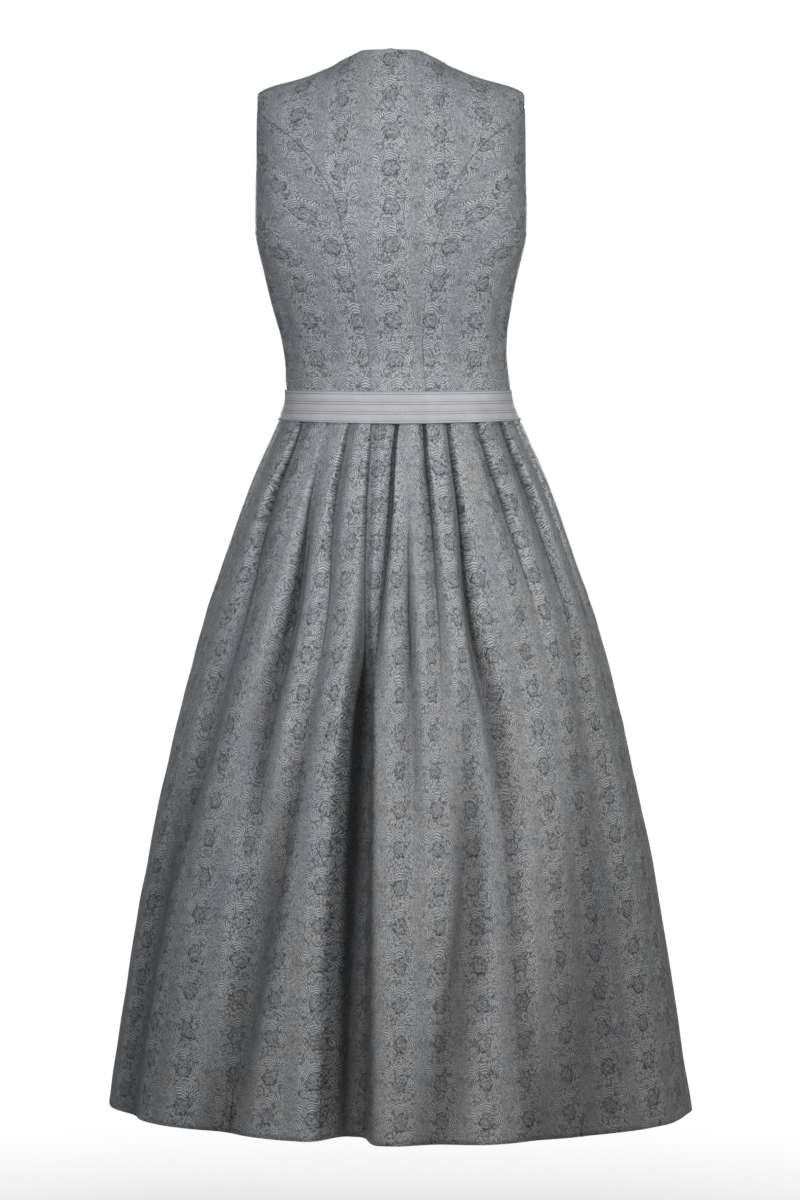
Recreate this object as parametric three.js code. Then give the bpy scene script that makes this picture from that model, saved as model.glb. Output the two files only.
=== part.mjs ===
// A sleeveless dirndl, filled out as it is worn: a seven-panel bodice with a high back, a pleated skirt in two
// panels, and an apron whose striped ribbon goes once round the waist and is tied in a bow in front.
// Millimetres, +Z up. The wearer faces -Y and the wearer's left is +X. The origin lies between the shoulders,
// at the height where the middle of each shoulder strap bears on them.
//
// Two maps carry the garment. bodicePoint(angle, rise) gives the bodice: the angle runs round the figure from
// the centre back (0) over the wearer's left (90) to the centre front (180), and rise goes from the waist seam
// (0) to the bottom of the armhole (1) and on over the shoulder to its ridge (2). skirtPoint(angle, fall) gives
// the skirt, with fall from the waist seam (0) to the hem (1).

import * as THREE from 'three';

// Driving dimensions.
const waistSeamZ = -358;
const armpitZ = -174;
const hemZ = -1180;
const hemLift = 8; // the hem rides up this much at the wearer's left
const hipSway = -10; // the skirt stands this far to the wearer's right of the shoulders
const swayFromZ = -220;
const swayToZ = -400;
const bodiceWall = 2;
const skirtWall = 1.6;
const apronWall = 1.2;
const ribbonWall = 1;
const seamGap = 0.3;

const neckHalfWidth = 60;
const neckTurn = 28; // how far before the shoulder ridge the back neck edge stops, in degrees
const backArch = 2.4; // roundness of the shoulder, seen from the side
const frontArch = 1.8;
const bust = { fullness: 13, apart: 78, z: -190, reachX: 40, reachZ: 46 };

const ribbonTopZ = -351.2;
const ribbonBottomZ = -385.5;
const ribbonLift = 0.8; // clear of the bodice and the skirt at the back
const ribbonFrontLift = 5; // clear of the gathered apron in front
const ribbonLiftFrom = 94; // degrees from the centre back where it starts to lift for the apron
const ribbonDip = 3; // the lower edge hangs this much lower at the centre back

const apronFrom = 112; // degrees from the centre back to the apron's side edge
const apronTopZ = -354;
const apronHemZ = -1140;
const apronLift = 0.7;
const apronGathers = 22;

const bow = { angle: 160, z: -369.5, knotAcross: 10, knotUp: 13, knotOut: 8, knotStand: 8.4 };

// Outline of the figure under the bodice, from the waist seam to the bottom of the armhole.
const torsoSections = [
  { z: -358, halfWidth: 127.8, back: 86, front: 98, square: 2.3 },
  { z: -340, halfWidth: 127.6, back: 82.5, front: 96, square: 2.3 },
  { z: -312, halfWidth: 127, back: 80, front: 96, square: 2.35 },
  { z: -289, halfWidth: 129.3, back: 82, front: 101, square: 2.45 },
  { z: -255, halfWidth: 136.7, back: 88, front: 111, square: 2.6 },
  { z: -221, halfWidth: 144.3, back: 94, front: 119, square: 2.85 },
  { z: -187, halfWidth: 152.6, back: 98, front: 122, square: 3.4 },
  { z: -174, halfWidth: 154.8, back: 99, front: 122, square: 3.6 },
];

// Height of the shoulder ridge. Inside the neck it is only a guide for the back neck edge.
const shoulderRidge = [
  { x: 0, z: 57 },
  { x: 30, z: 49 },
  { x: 48, z: 33 },
  { x: 63, z: 19 },
  { x: 78, z: 12 },
  { x: 92, z: 6 },
  { x: 109, z: 0.5 },
  { x: 133, z: -6 },
  { x: 148, z: -12 },
  { x: 156, z: -18 },
];

// Outline of the skirt.
const skirtSections = [
  { z: -358, halfWidth: 127.8, back: 86, front: 98, square: 2.3 },
  { z: -366, halfWidth: 129, back: 87, front: 99, square: 2.3 },
  { z: -376, halfWidth: 132.5, back: 91, front: 103, square: 2.3 },
  { z: -392, halfWidth: 140.5, back: 99, front: 109, square: 2.25 },
  { z: -410, halfWidth: 148.6, back: 107, front: 116, square: 2.2 },
  { z: -444, halfWidth: 164, back: 120, front: 128, square: 2.15 },
  { z: -478, halfWidth: 177.3, back: 132, front: 140, square: 2.12 },
  { z: -547, halfWidth: 201.8, back: 152, front: 160, square: 2.1 },
  { z: -616, halfWidth: 225, back: 171, front: 179, square: 2.1 },
  { z: -720, halfWidth: 253, back: 194, front: 202, square: 2.1 },
  { z: -857, halfWidth: 284.2, back: 217, front: 226, square: 2.08 },
  { z: -996, halfWidth: 310.2, back: 235, front: 244, square: 2.06 },
  { z: -1180, halfWidth: 338, back: 252, front: 262, square: 2.04 },
];

// Seams and edges of the bodice, as angles by rise, on the wearer's left. The right is their mirror image.
const backSeam = [
  { rise: 0, angle: 20.5 },
  { rise: 0.25, angle: 21.5 },
  { rise: 0.5, angle: 22.5 },
  { rise: 0.75, angle: 24.5 },
  { rise: 1, angle: 29 },
  { rise: 1.12, angle: 35 },
  { rise: 1.23, angle: 42 },
  { rise: 1.35, angle: 50 },
  { rise: 1.45, angle: 57.5 },
  { rise: 1.57, angle: 68 },
  { rise: 1.66, angle: 74 },
];
const backArmhole = [
  { rise: 1, angle: 90 },
  { rise: 1.03, angle: 84 },
  { rise: 1.1, angle: 79.5 },
  { rise: 1.25, angle: 76 },
  { rise: 1.45, angle: 74.5 },
  { rise: 1.66, angle: 74 },
  { rise: 2, angle: 72.6 },
];
const frontArmhole = [
  { rise: 1, angle: 90 },
  { rise: 1.03, angle: 99 },
  { rise: 1.1, angle: 113 },
  { rise: 1.25, angle: 124 },
  { rise: 1.42, angle: 127.5 },
  { rise: 1.7, angle: 121 },
  { rise: 2, angle: 111.2 },
];
const frontSeam = [
  { rise: 0, angle: 154 },
  { rise: 0.3, angle: 150.5 },
  { rise: 0.6, angle: 148 },
  { rise: 0.9, angle: 146 },
  { rise: 1.1, angle: 143 },
  { rise: 1.25, angle: 137.5 },
  { rise: 1.42, angle: 127.5 },
];
const neckline = [
  { rise: 0.84, angle: 180 },
  { rise: 0.86, angle: 173 },
  { rise: 0.91, angle: 165.5 },
  { rise: 1, angle: 159.5 },
  { rise: 1.12, angle: 156 },
  { rise: 1.3, angle: 153.5 },
  { rise: 1.6, angle: 152.5 },
  { rise: 2, angle: 153.8 },
];

// The folds of the skirt's back, from the wearer's left to the right. Each has an angle, a depth and a half
// width in degrees at every one of these falls. The crisp side of a pleat, where its folded edge lies over the
// next one, is the side away from the middle of the back.
const foldFalls = [0, 0.07, 0.15, 0.3, 0.45, 0.7, 1];
const backFolds = [
  {
    angle: [82, 83, 83, 84, 84, 84, 84],
    depth: [2, 3, 4, 3, 2, 3, 2],
    width: [3, 3, 4, 5, 6, 6, 6],
  },
  {
    angle: [62, 62, 64.5, 60.5, 60.5, 62, 61],
    depth: [3, 8, 12, 10, 12, 18, 18],
    width: [6, 6, 7, 8, 10, 13, 12],
  },
  {
    angle: [47, 45, 45, 42, 44, 44, 44],
    depth: [3, 4, 10, 20, 13, 1, 0],
    width: [4, 4, 5, 5, 5, 5, 5],
  },
  {
    angle: [33, 33, 33, 28.5, 29, 34, 40],
    depth: [3, 8, 11, 9, 11, 17, 15],
    width: [5, 5, 5, 4, 4, 4, 5],
  },
  {
    angle: [19, 18, 17, 14.5, 15.5, 15, 14.5],
    depth: [2, 6, 9, 16, 46, 54, 50],
    width: [4, 4, 4, 3.5, 4, 3.4, 3],
  },
  {
    angle: [-1, 2.5, 4, 9.5, 11, 11, 11],
    depth: [4, 10, 12, 10, 0, 0, 0],
    width: [4, 4, 4, 3.5, 3, 3, 3],
  },
  {
    angle: [-18, -16, -16, -15.5, -14.5, -14.5, -14.5],
    depth: [4, 9, 12, 9, 3, 0, 0],
    width: [4, 4, 5, 4, 3, 3, 3],
  },
  {
    angle: [-46, -42, -37, -29, -24, -17.5, -9.5],
    depth: [0, 0, 0, 0, 4, 17, 13],
    width: [5, 5, 5, 4, 3, 3, 3],
  },
  {
    angle: [-33, -30.5, -29.5, -28, -31, -32, -32],
    depth: [4, 9, 12, 14, 15, 3, 0],
    width: [4, 4, 4, 3.5, 4, 3, 3],
  },
  {
    angle: [-60, -58, -54, -47, -38, -30.5, -33],
    depth: [0, 0, 0, 0, 2, 8, 12],
    width: [6, 6, 6, 4, 3, 3, 4],
  },
  {
    angle: [-49, -49, -51, -52, -49, -48, -48],
    depth: [4, 9, 12, 8, 3, 0, 0],
    width: [5, 5, 6, 7, 7, 6, 5],
  },
  {
    angle: [-64, -64.5, -67, -68, -65, -59, -54],
    depth: [4, 9, 12, 12, 10, 12, 11],
    width: [5, 6, 7, 9, 11, 13, 12],
  },
  {
    angle: [-76, -77, -79, -80, -80, -80, -80],
    depth: [3, 4, 5, 5, 4, 4, 4],
    width: [3, 4, 4, 5, 6, 7, 7],
  },
];

// The front has like folds, mostly under the apron.
const frontFoldCount = 12;
const frontFolds = Array.from({ length: frontFoldCount }, (_, i) => {
  const across = (i + 0.5) / frontFoldCount;
  const uneven = Math.sin(7.3 * i + 1);
  const angle = 94 + 172 * across;
  const kept = i % 2;
  return {
    angle: [0, 0.5, 1, 1.5, 2, 2, 2].map((drift) => angle + drift * uneven),
    depth: [3, 7, 9 + 2 * uneven, 11 + 3 * uneven, kept * (13 + 3 * uneven), kept * 15, kept * 14],
    width: [2.5, 3.2, 4, 5.5, 7, 8, 8],
  };
});

// A smooth curve through the rows of a table: given the column of places and the column of values.
function curve(rows, at, value) {
  const xs = rows.map((row) => row[at]);
  const ys = rows.map((row) => row[value]);
  if (xs[0] > xs[xs.length - 1]) {
    xs.reverse();
    ys.reverse();
  }
  return smooth(xs, ys);
}

function smooth(xs, ys) {
  const last = xs.length - 1;
  const slopes = xs.map((x, i) => {
    const a = Math.max(i - 1, 0);
    const b = Math.min(i + 1, last);
    return (ys[b] - ys[a]) / (xs[b] - xs[a]);
  });
  return (x) => {
    if (x <= xs[0]) return ys[0];
    if (x >= xs[last]) return ys[last];
    const i = xs.findIndex((knot) => knot > x) - 1;
    const span = xs[i + 1] - xs[i];
    const s = (x - xs[i]) / span;
    const rest = 1 - s;
    return (
      ys[i] * rest * rest * (1 + 2 * s) +
      slopes[i] * span * s * rest * rest +
      ys[i + 1] * s * s * (3 - 2 * s) -
      slopes[i + 1] * span * s * s * rest
    );
  };
}

const lerp = THREE.MathUtils.lerp;
const clamp = THREE.MathUtils.clamp;
const radians = THREE.MathUtils.degToRad;
const ease = (x, from, to) => THREE.MathUtils.smoothstep(x, from, to);
const steps = (count) => Array.from({ length: count + 1 }, (_, i) => i / count);

const torso = {
  halfWidth: curve(torsoSections, 'z', 'halfWidth'),
  back: curve(torsoSections, 'z', 'back'),
  front: curve(torsoSections, 'z', 'front'),
  square: curve(torsoSections, 'z', 'square'),
};
const ridgeZ = curve(shoulderRidge, 'x', 'z');
const skirt = {
  halfWidth: curve(skirtSections, 'z', 'halfWidth'),
  back: curve(skirtSections, 'z', 'back'),
  front: curve(skirtSections, 'z', 'front'),
  square: curve(skirtSections, 'z', 'square'),
};

// How far the middle of the garment lies to the side at a height.
const sway = (z) => hipSway * (1 - ease(z, swayToZ, swayFromZ));

// Distance from the middle to a rounded-square section in the direction of an angle.
function reach(angle, halfWidth, depth, square) {
  const across = Math.abs(Math.sin(radians(angle))) / halfWidth;
  const through = Math.abs(Math.cos(radians(angle))) / depth;
  return (across ** square + through ** square) ** (-1 / square);
}

function torsoReach(angle, z) {
  const depth = Math.cos(radians(angle)) > 0 ? torso.back(z) : torso.front(z);
  return reach(angle, torso.halfWidth(z), depth, torso.square(z));
}

function skirtReach(angle, z) {
  const depth = Math.cos(radians(angle)) > 0 ? skirt.back(z) : skirt.front(z);
  return reach(angle, skirt.halfWidth(z), depth, skirt.square(z));
}

const outward = (angle) => new THREE.Vector3(Math.sin(radians(angle)), Math.cos(radians(angle)), 0);

// A point of the bodice's outer face.
function bodicePoint(angle, rise) {
  const onRing = rise <= 1;
  const ringZ = onRing ? lerp(waistSeamZ + seamGap / 2, armpitZ, rise) : armpitZ;
  const point = outward(angle).multiplyScalar(torsoReach(angle, ringZ));
  point.z = ringZ;
  const isFront = point.y < 0;
  if (!onRing) {
    const neckSide = clamp(Math.abs(point.x) / neckHalfWidth, 0, 1);
    const stop = isFront ? 90 : 90 - neckTurn * Math.sqrt(1 - neckSide * neckSide);
    const turn = radians(stop * (rise - 1));
    const power = 2 / (isFront ? frontArch : backArch);
    const edge = ((isFront ? -1 : 1) * seamGap) / 2;
    point.z = armpitZ + (ridgeZ(Math.abs(point.x)) - armpitZ) * Math.sin(turn) ** power;
    point.y = edge + (point.y - edge) * Math.max(Math.cos(turn), 0) ** power;
  }
  if (isFront) {
    const dx = (Math.abs(point.x) - bust.apart) / bust.reachX;
    const dz = (point.z - bust.z) / bust.reachZ;
    point.y -= bust.fullness * Math.exp(-dx * dx - dz * dz);
  }
  point.x += sway(point.z);
  return point;
}

// How far the skirt's cloth lies inside its outline at a place. Near the waist, the crisp side of a pleat is
// only this share as wide as its soft side. The pleats turn the other way beyond the middle fold.
const crispShare = 0.3;
const middleFoldAngle = 5;

const foldCurves = [...backFolds, ...frontFolds].map((fold) => ({
  angle: smooth(foldFalls, fold.angle),
  depth: smooth(foldFalls, fold.depth),
  width: smooth(foldFalls, fold.width),
}));

function foldDepth(angle, fall) {
  const crisp = lerp(crispShare, 1, ease(fall, 0.05, 0.4));
  let deepest = 0;
  let rest = 0;
  for (const fold of foldCurves) {
    let off = angle - fold.angle(fall);
    off -= 360 * Math.round(off / 360);
    const outer = fold.angle(0) > middleFoldAngle ? 1 : -1;
    const width = fold.width(fall) * (off * outer > 0 ? crisp : 1);
    const depth = Math.max(fold.depth(fall), 0) * Math.exp(-((off / width) ** 2));
    rest += depth;
    deepest = Math.max(deepest, depth);
  }
  return lerp(rest, deepest, 0.4);
}

const zAtFall = (angle, fall) =>
  lerp(waistSeamZ - seamGap, hemZ + hemLift * Math.max(Math.sin(radians(angle)), 0), fall);

function skirtPoint(angle, fall) {
  const z = zAtFall(angle, fall);
  const point = outward(angle).multiplyScalar(skirtReach(angle, z) - foldDepth(angle, fall));
  return point.set(point.x + sway(z), point.y, z);
}

// The apron lies on the skirt's outline, in small gathers at the top that run into fewer, softer folds.
function apronStand(angle, fall) {
  const across = ((angle - apronFrom) / (360 - 2 * apronFrom)) * Math.PI;
  const gathers = 1.1 * (1 - ease(fall, 0.02, 0.4)) * (1 + Math.cos(2 * apronGathers * across));
  const waves = 3.2 * Math.sin(9 * across + 0.6) + 1.8 * Math.sin(15 * across + 2);
  const folds = ease(fall, 0.02, 0.6) * (5 + waves);
  return apronLift + apronWall + gathers + folds + 5 * fall;
}

function apronPoint(angle, fall, extra = 0) {
  const z = lerp(apronTopZ, apronHemZ, fall);
  const base = z > waistSeamZ ? torsoReach(angle, z) : skirtReach(angle, z);
  const point = outward(angle).multiplyScalar(base + apronStand(angle, fall) + extra);
  return point.set(point.x + sway(z), point.y, z);
}

// The ribbon's outer face.
function ribbonPoint(angle, down, extra = 0) {
  const dip = ribbonDip * Math.max(Math.cos(radians(angle)), 0) ** 2;
  const z = lerp(ribbonTopZ - dip / 3, ribbonBottomZ - dip, down);
  const base = z > waistSeamZ ? torsoReach(angle, z) : skirtReach(angle, z);
  const side = Math.abs(angle > 180 ? 360 - angle : angle);
  const lift = lerp(ribbonLift, ribbonFrontLift, ease(side, ribbonLiftFrom, apronFrom - 1));
  const point = outward(angle).multiplyScalar(base + lift + ribbonWall + extra);
  return point.set(point.x + sway(z), point.y, z);
}

// A closed wall of cloth whose outer face is a map's points at a grid of places. The inner face lies one
// thickness behind it. Maps run up the garment, or down it where falling is true. Places that go all the way
// round, as on a tube, are closed.
function wall(map, places, thickness, { falling = false, closed = false } = {}) {
  const small = 1e-3;
  const behind = falling ? thickness : -thickness;
  const outer = places.map((row) => row.map(([p, q]) => map(p, q)));
  const inner = places.map((row, i) =>
    row.map(([p, q], j) => {
      const across = map(p + small, q).sub(map(p - small, q));
      const along = map(p, q + small).sub(map(p, q - small));
      const normal = along.cross(across).normalize();
      return outer[i][j].clone().addScaledVector(normal, behind);
    }),
  );
  return shell(outer, inner, closed);
}

// A grid of places: every first value with every second value, a row for each second value.
const grid = (firsts, seconds) => seconds.map((q) => firsts.map((p) => [p, q]));

// The solid between two equal grids of points.
function shell(outer, inner, closed) {
  const rows = outer.length;
  const columns = outer[0].length;
  const points = [...outer.flat(), ...inner.flat()];
  const behind = rows * columns;
  const at = (i, j) => i * columns + (j % columns);
  const triangles = [];
  const quad = (a, b, c, d) => triangles.push(a, b, c, a, c, d);
  const lastColumn = closed ? columns : columns - 1;
  for (let i = 0; i < rows - 1; i++) {
    for (let j = 0; j < lastColumn; j++) {
      const [a, b, c, d] = [at(i, j), at(i, j + 1), at(i + 1, j + 1), at(i + 1, j)];
      quad(a, b, c, d);
      quad(d + behind, c + behind, b + behind, a + behind);
    }
  }
  for (let j = 0; j < lastColumn; j++) {
    const top = [at(0, j), at(0, j + 1)];
    const bottom = [at(rows - 1, j), at(rows - 1, j + 1)];
    quad(top[1], top[0], top[0] + behind, top[1] + behind);
    quad(bottom[0], bottom[1], bottom[1] + behind, bottom[0] + behind);
  }
  if (!closed) {
    for (let i = 0; i < rows - 1; i++) {
      const left = [at(i, 0), at(i + 1, 0)];
      const right = [at(i, columns - 1), at(i + 1, columns - 1)];
      quad(left[0], left[1], left[1] + behind, left[0] + behind);
      quad(right[1], right[0], right[0] + behind, right[1] + behind);
    }
  }
  return facingOut(points, triangles);
}

function facingOut(points, triangles) {
  let volume = 0;
  for (let i = 0; i < triangles.length; i += 3) {
    const [a, b, c] = triangles.slice(i, i + 3).map((k) => points[k]);
    volume += a.dot(b.clone().cross(c));
  }
  if (volume < 0) triangles.reverse();
  const geometry = new THREE.BufferGeometry().setFromPoints(points);
  geometry.setIndex(triangles);
  geometry.computeVertexNormals();
  return geometry;
}

// Materials.
const jacquard = new THREE.MeshStandardMaterial({ color: 0x868c94, roughness: 0.55, metalness: 0 });
const apronCloth = new THREE.MeshStandardMaterial({ color: 0x9c9da3, roughness: 0.6, metalness: 0 });
const ribbonCloth = new THREE.MeshStandardMaterial({ color: 0xb2b2b5, roughness: 0.5, metalness: 0 });

const dirndl = new THREE.Group();

function add(name, geometry, material) {
  const mesh = new THREE.Mesh(geometry, material);
  mesh.name = name;
  dirndl.add(mesh);
}

// Bodice panels. Each edge of a panel keeps half the seam gap. Side 1 is the wearer's left and -1 the right.
function edgeTurn(angle, rise) {
  const z = lerp(waistSeamZ, armpitZ, Math.min(rise, 1));
  return THREE.MathUtils.radToDeg(seamGap / 2 / torsoReach(angle, z));
}

const seamAt = {
  back: curve(backSeam, 'rise', 'angle'),
  front: curve(frontSeam, 'rise', 'angle'),
  neck: curve(neckline, 'rise', 'angle'),
  backArmhole: curve(backArmhole, 'rise', 'angle'),
  frontArmhole: curve(frontArmhole, 'rise', 'angle'),
};
const backSeamEnd = backSeam[backSeam.length - 1].rise;
const frontSeamEnd = frontSeam[frontSeam.length - 1].rise;

const backRises = [0, 0.13, 0.3, 0.5, 0.7, 0.87, 1, 1.1, 1.2, 1.31, 1.43, 1.55, 1.66, 1.76, 1.85, 1.93, 2];
const frontRises = [
  0, 0.16, 0.33, 0.5, 0.65, 0.76, 0.84, 0.87, 0.91, 0.96,
  1.03, 1.12, 1.22, 1.33, 1.42, 1.54, 1.68, 1.82, 1.92, 2,
];

function centreBack() {
  const edge = (rise) => {
    const angle = rise < backSeamEnd ? seamAt.back(rise) : seamAt.backArmhole(rise);
    return angle - edgeTurn(angle, rise);
  };
  const places = backRises.map((rise) => steps(14).map((s) => [lerp(-edge(rise), edge(rise), s), rise]));
  return wall(bodicePoint, places, bodiceWall);
}

function centreFront(side) {
  const inner = (rise) => {
    const angle = rise < neckline[0].rise ? 180 : seamAt.neck(rise);
    return angle - edgeTurn(angle, rise);
  };
  const outer = (rise) => {
    const angle = rise < frontSeamEnd ? seamAt.front(rise) : seamAt.frontArmhole(rise);
    return angle + edgeTurn(angle, rise);
  };
  const across = (rise) => steps(6).map((s) => [side * lerp(inner(rise), outer(rise), s), rise]);
  const places = frontRises.map(across);
  return wall(bodicePoint, places, bodiceWall);
}

// A side panel ends at the top in the armhole, so its columns spread towards the points of that edge.
// Its rows meet the seam where the rows of the panel beside it do.
function sidePanel(side, seam, seamRises, armhole, towardsFront) {
  const seamEnd = seamRises[seamRises.length - 1];
  const edgeRows = armhole.filter((row) => row.rise <= seamEnd);
  const spread = edgeRows.map((_, i) => i / (edgeRows.length - 1));
  const edgeRise = smooth(spread, edgeRows.map((row) => row.rise));
  const edgeAngle = smooth(spread, edgeRows.map((row) => row.angle));
  const sign = towardsFront ? 1 : -1;
  const places = seamRises.map((seamRise) => {
    const up = seamRise / seamEnd;
    const atSeam = seam(seamRise) - sign * edgeTurn(seam(seamRise), seamRise);
    const atSide = 90 + sign * edgeTurn(90, up);
    return steps(8).map((s) => {
      const topShare = (edgeAngle(s) - 90) / (seam(seamEnd) - 90);
      const share = lerp(s, topShare, up * up);
      return [side * lerp(atSide, atSeam, share), up * edgeRise(s)];
    });
  });
  return wall(bodicePoint, places, bodiceWall);
}

add('bodice_back', centreBack(), jacquard);
for (const [side, hand] of [[1, 'left'], [-1, 'right']]) {
  const backRow = backRises.filter((rise) => rise <= backSeamEnd);
  const frontRow = frontRises.filter((rise) => rise <= frontSeamEnd);
  add(`bodice_side_back_${hand}`, sidePanel(side, seamAt.back, backRow, backArmhole, false), jacquard);
  add(`bodice_side_front_${hand}`, sidePanel(side, seamAt.front, frontRow, frontArmhole, true), jacquard);
  add(`bodice_front_${hand}`, centreFront(side), jacquard);
}

// Skirt panels, from side seam to side seam. The columns of the back run down its pleats and stand closer
// together beside them.
const skirtFalls = [0, 0.01, 0.022, 0.042, 0.08, 0.14, 0.21, 0.29, 0.37, 0.46, 0.58, 0.72, 0.86, 1];
const columnsPerPleat = 6;
const bunching = 0.7;
const frontColumns = 52;

function skirtPanel(from, to, anglesAt) {
  const turn = THREE.MathUtils.radToDeg(seamGap / 2 / skirt.halfWidth(waistSeamZ));
  const places = skirtFalls.map((fall) => anglesAt(from + turn, to - turn, fall).map((angle) => [angle, fall]));
  return wall(skirtPoint, places, skirtWall, { falling: true });
}

const pleatCurves = foldCurves.slice(0, backFolds.length).filter((fold) => fold.depth(0) > 0);
pleatCurves.sort((a, b) => a.angle(0) - b.angle(0));

function alongPleats(from, to, fall) {
  const lines = [from, ...pleatCurves.map((fold) => fold.angle(fall)), to];
  const angles = lines.slice(1).flatMap((end, i) =>
    steps(columnsPerPleat).slice(0, -1).map((t) => {
      const nearEnds = t - (bunching * Math.sin(2 * Math.PI * t)) / (2 * Math.PI);
      return lerp(lines[i], end, nearEnds);
    }),
  );
  return [...angles, to];
}

const evenly = (from, to) => steps(frontColumns).map((s) => lerp(from, to, s));

add('skirt_back', skirtPanel(-90, 90, alongPleats), jacquard);
add('skirt_front', skirtPanel(90, 270, evenly), jacquard);

// Apron and its ribbon.
const apronFalls = [0, 0.015, 0.028, 0.045, 0.075, 0.12, 0.2, 0.32, 0.46, 0.63, 0.81, 1];
const apronColumns = 2 * apronGathers;
const apronAngles = steps(apronColumns).map((s) => lerp(apronFrom, 360 - apronFrom, s));
add('apron', wall(apronPoint, grid(apronAngles, apronFalls), apronWall, { falling: true }), apronCloth);

const ribbonColumns = 80;
const ribbonAngles = steps(ribbonColumns).slice(0, -1).map((s) => 360 * s);
const ribbonPlaces = grid(ribbonAngles, [0, 0.2, 0.45, 0.72, 1]);
add('apron_ribbon', wall(ribbonPoint, ribbonPlaces, ribbonWall, { falling: true, closed: true }), ribbonCloth);

// The bow. Its places are given along the waist, up, and out from the ribbon's face.
function bowPoint(alongWaist, up, out) {
  const z = bow.z + up;
  const start = skirtReach(bow.angle, bow.z) + ribbonFrontLift;
  const angle = bow.angle + THREE.MathUtils.radToDeg(alongWaist / start);
  const down = (ribbonTopZ - clamp(z, ribbonBottomZ, ribbonTopZ)) / (ribbonTopZ - ribbonBottomZ);
  const point = ribbonPoint(angle, down, out);
  point.z = z;
  return point;
}

// A loop leaves the knot, turns round at its tip and comes back behind itself.
function bowLoop(side, length, droop) {
  const opening = radians(14);
  const middle = bow.knotAcross + seamGap + (length / 2) * Math.cos(opening);
  const onLoop = (s, t) => {
    const turn = lerp(Math.PI - opening, opening - Math.PI, s);
    const alongWaist = middle + (length / 2) * Math.cos(turn);
    const share = (alongWaist - bow.knotAcross) / length;
    const halfUp = lerp(8, 17, ease(share, 0, 0.55));
    const up = lerp(halfUp, -halfUp, t) - droop * share * share;
    return bowPoint(side * alongWaist, up, bow.knotStand + 1 + 7 * Math.sin(turn));
  };
  return wall(onLoop, grid(steps(20), steps(4)), ribbonWall, { falling: side > 0 });
}

// A tail hangs from under the knot over the apron and ends in a slanting cut.
function bowTail(side, length, spreadOut) {
  const halfWidth = 17;
  const slant = 16;
  const onTail = (t, s) => {
    const z = bow.z - bow.knotUp - seamGap - s * (length + slant * (t - 0.5));
    const open = ease(s, 0, 0.22);
    const alongWaist = side * (5 + spreadOut * s) + lerp(-1, 1, t) * halfWidth * lerp(0.5, 1, open);
    const angle = bow.angle + THREE.MathUtils.radToDeg(alongWaist / skirtReach(bow.angle, z));
    const fall = (apronTopZ - z) / (apronTopZ - apronHemZ);
    const over = side > 0 ? 0 : 4.3 * (1 - ease(s, 0.3, 0.5));
    const stand = lerp(7, 3.6, open) + 1.2 * (1 + Math.sin(9 * s + side)) + over;
    return apronPoint(angle, fall, stand);
  };
  return wall(onTail, grid(steps(4), steps(12)), ribbonWall, { falling: true });
}

function bowKnot() {
  const knot = new THREE.SphereGeometry(1, 12, 8);
  const positions = knot.attributes.position;
  const round = (v) => Math.sign(v) * Math.abs(v) ** 0.75;
  for (let i = 0; i < positions.count; i++) {
    const alongWaist = -round(positions.getX(i)) * bow.knotAcross;
    const up = round(positions.getY(i)) * bow.knotUp;
    const out = round(positions.getZ(i)) * bow.knotOut + bow.knotStand;
    const point = bowPoint(alongWaist, up, out);
    positions.setXYZ(i, point.x, point.y, point.z);
  }
  return knot;
}

add('bow_knot', bowKnot(), ribbonCloth);
add('bow_loop_left', bowLoop(-1, 68, 9), ribbonCloth);
add('bow_loop_right', bowLoop(1, 64, 14), ribbonCloth);
add('bow_tail_left', bowTail(-1, 235, 52), ribbonCloth);
add('bow_tail_right', bowTail(1, 265, 46), ribbonCloth);

export default dirndl;
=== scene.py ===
import math

import bmesh
import bpy
import numpy as np
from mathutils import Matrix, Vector


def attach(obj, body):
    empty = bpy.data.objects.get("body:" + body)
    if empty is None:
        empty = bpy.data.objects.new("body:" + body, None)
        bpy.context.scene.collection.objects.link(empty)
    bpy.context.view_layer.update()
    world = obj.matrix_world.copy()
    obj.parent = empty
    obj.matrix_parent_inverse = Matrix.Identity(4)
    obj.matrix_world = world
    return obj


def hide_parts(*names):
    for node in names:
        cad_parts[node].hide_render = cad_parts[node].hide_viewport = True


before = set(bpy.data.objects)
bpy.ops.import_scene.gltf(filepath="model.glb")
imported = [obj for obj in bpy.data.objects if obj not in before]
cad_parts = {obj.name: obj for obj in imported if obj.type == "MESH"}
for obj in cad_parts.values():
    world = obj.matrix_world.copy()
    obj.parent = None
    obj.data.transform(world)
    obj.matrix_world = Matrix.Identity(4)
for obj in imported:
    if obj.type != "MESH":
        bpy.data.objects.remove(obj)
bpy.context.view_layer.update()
mm = 0.001


# numbers and curves

def smooth(xs, ys):
    # a smooth curve through the points, held level past both ends
    xs, ys = np.array(xs, float), np.array(ys, float)
    if xs[0] > xs[-1]:
        xs, ys = xs[::-1], ys[::-1]
    last = len(xs) - 1
    before = np.maximum(np.arange(last + 1) - 1, 0)
    after = np.minimum(np.arange(last + 1) + 1, last)
    slopes = (ys[after] - ys[before]) / (xs[after] - xs[before])

    def at(x):
        x = np.clip(x, xs[0], xs[-1])
        i = np.clip(np.searchsorted(xs, x, side="right") - 1, 0, last - 1)
        span = xs[i + 1] - xs[i]
        s = (x - xs[i]) / span
        rest = 1 - s
        return (ys[i] * rest * rest * (1 + 2 * s) + slopes[i] * span * s * rest * rest
                + ys[i + 1] * s * s * (3 - 2 * s) - slopes[i + 1] * span * s * s * rest)

    return at


def ease(x, low, high):
    t = np.clip((np.asarray(x, float) - low) / (high - low), 0, 1)
    return t * t * (3 - 2 * t)


def mix(a, b, t):
    return a + (b - a) * t


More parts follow.
